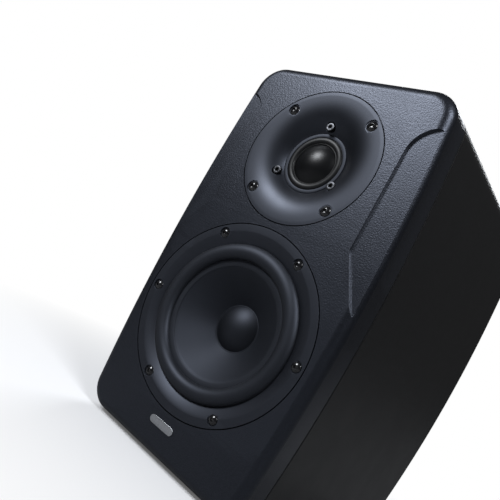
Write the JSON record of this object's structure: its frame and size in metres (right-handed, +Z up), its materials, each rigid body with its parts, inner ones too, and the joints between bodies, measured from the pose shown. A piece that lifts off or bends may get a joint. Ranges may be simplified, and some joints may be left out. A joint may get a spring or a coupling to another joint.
{
  "type": "bookshelf speaker",
  "caption": "Two-way active bookshelf loudspeaker with bowed sides, round waveguide tweeter above a dished woofer, and a rear amplifier plate.",
  "frame": {"origin": "middle of the footprint of the whole speaker, on the surface it stands on", "axes": "+Z up, the front looks along -Y, +X to the right seen from the front"},
  "size_m": [0.174, 0.2835, 0.3115],
  "materials": {
    "baffle_plastic": "dark grey moulding with a fine orange-peel texture",
    "cabinet_board": "fibreboard with a smooth dark wrap",
    "raw_board": "unfinished fibreboard",
    "dark_rubber": "soft black rubber",
    "foam": "open-cell damping foam",
    "satin_plastic": "satin dark grey moulding",
    "black_plastic": "black moulding",
    "badge_metal": "brushed blank badge",
    "cast_metal": "cast basket, dark",
    "cone_poly": "smooth dark cone material",
    "spider_cloth": "resin-treated corrugated cloth",
    "former_foil": "coil former foil",
    "copper_wire": "copper winding",
    "plated_steel": "zinc-plated steel",
    "ferrite": "ferrite magnet",
    "black_screw": "black lacquered steel screws",
    "silver_screw": "bright socket screws",
    "silk": "coated dome cloth",
    "bright_roll": "glossy grey surround roll",
    "panel_metal": "black powder-coated plate",
    "anodised": "black anodised cooler",
    "board_green": "circuit board laminate",
    "gold_contact": "plated contacts",
    "fuse_glass": "glass fuse",
    "wire_jacket": "insulated wire"
  },
  "bodies": {
    "cabinet": {"front_baffle": "baffle_plastic", "left_side_panel": "cabinet_board", "right_side_panel": "cabinet_board", "top_panel": "cabinet_board", "bottom_panel": "cabinet_board", "rear_panel": "cabinet_board", "cabinet_gasket": "dark_rubber", "internal_brace": "raw_board", "damping_foam": "foam", "port_tube": "black_plastic", "rubber_feet": "dark_rubber", "front_badge": "badge_metal", "woofer_trim_ring": "satin_plastic", "woofer_frame": "cast_metal", "woofer_surround": "dark_rubber", "woofer_spider": "spider_cloth", "woofer_top_plate": "plated_steel", "woofer_magnet": "ferrite", "woofer_yoke": "plated_steel", "woofer_screws": "black_screw", "tweeter_waveguide": "satin_plastic", "tweeter_mount_ring": "satin_plastic", "tweeter_surround": "bright_roll", "tweeter_top_plate": "plated_steel", "tweeter_magnet": "ferrite", "tweeter_yoke": "plated_steel", "tweeter_rear_cup": "black_plastic", "driver_terminals": "gold_contact", "tweeter_screws": "black_screw", "tweeter_motor_screws": "silver_screw", "amp_panel": "panel_metal", "amp_panel_screws": "black_screw", "heat_sink": "anodised", "amp_circuit_board": "board_green", "board_standoffs": "plated_steel", "filter_capacitors": "black_plastic", "output_chips": "black_plastic", "power_transformer": "copper_wire", "volume_pot": "plated_steel", "trim_pots": "plated_steel", "xlr_jack": "black_plastic", "xlr_contact_block": "black_plastic", "phone_jack": "black_plastic", "phono_jack": "gold_contact", "power_switch_body": "black_plastic", "mains_inlet": "black_plastic", "mains_inlet_pins": "gold_contact", "speaker_wires": "wire_jacket"},
    "woofer_piston": {"woofer_cone": "cone_poly", "woofer_dust_cap": "cone_poly", "woofer_coil_former": "former_foil", "woofer_voice_coil": "copper_wire"},
    "tweeter_diaphragm": {"tweeter_dome": "silk", "tweeter_voice_coil": "copper_wire"},
    "volume_control": {"volume_knob": "black_plastic"},
    "treble_control": {"treble_trim_knob": "black_plastic"},
    "bass_control": {"bass_trim_knob": "black_plastic"},
    "rocker": {"power_rocker": "black_plastic"},
    "drawer": {"fuse_drawer": "black_plastic", "mains_fuse": "fuse_glass"}
  },
  "joints": [
    {"name": "woofer_stroke", "type": "slide", "parent": "cabinet", "child": "woofer_piston", "axis": [0, 1, 0], "range_m": [-0.004, 0.004], "stiffness_N_per_m": 1500, "deforming": ["woofer_surround", "woofer_spider"]},
    {"name": "tweeter_stroke", "type": "slide", "parent": "cabinet", "child": "tweeter_diaphragm", "axis": [0, 1, 0], "range_m": [-0.0004, 0.0004], "stiffness_N_per_m": 1500, "deforming": ["tweeter_surround"]},
    {"name": "volume_turn", "type": "hinge", "parent": "cabinet", "child": "volume_control", "pos_m": [0.024, 0.13279, 0.1845], "axis": [0, 1, 0], "range_deg": [-150, 150]},
    {"name": "treble_turn", "type": "hinge", "parent": "cabinet", "child": "treble_control", "pos_m": [0.012, 0.13279, 0.1595], "axis": [0, 1, 0], "range_deg": [-150, 150]},
    {"name": "bass_turn", "type": "hinge", "parent": "cabinet", "child": "bass_control", "pos_m": [0.036, 0.13279, 0.1595], "axis": [0, 1, 0], "range_deg": [-150, 150]},
    {"name": "power_rock", "type": "hinge", "parent": "cabinet", "child": "rocker", "pos_m": [0.024, 0.12729, 0.0815], "axis": [1, 0, 0], "range_deg": [-14, 0]},
    {"name": "fuse_slide", "type": "slide", "parent": "cabinet", "child": "drawer", "axis": [0, 1, 0], "range_m": [0, 0.015]}
  ]
}
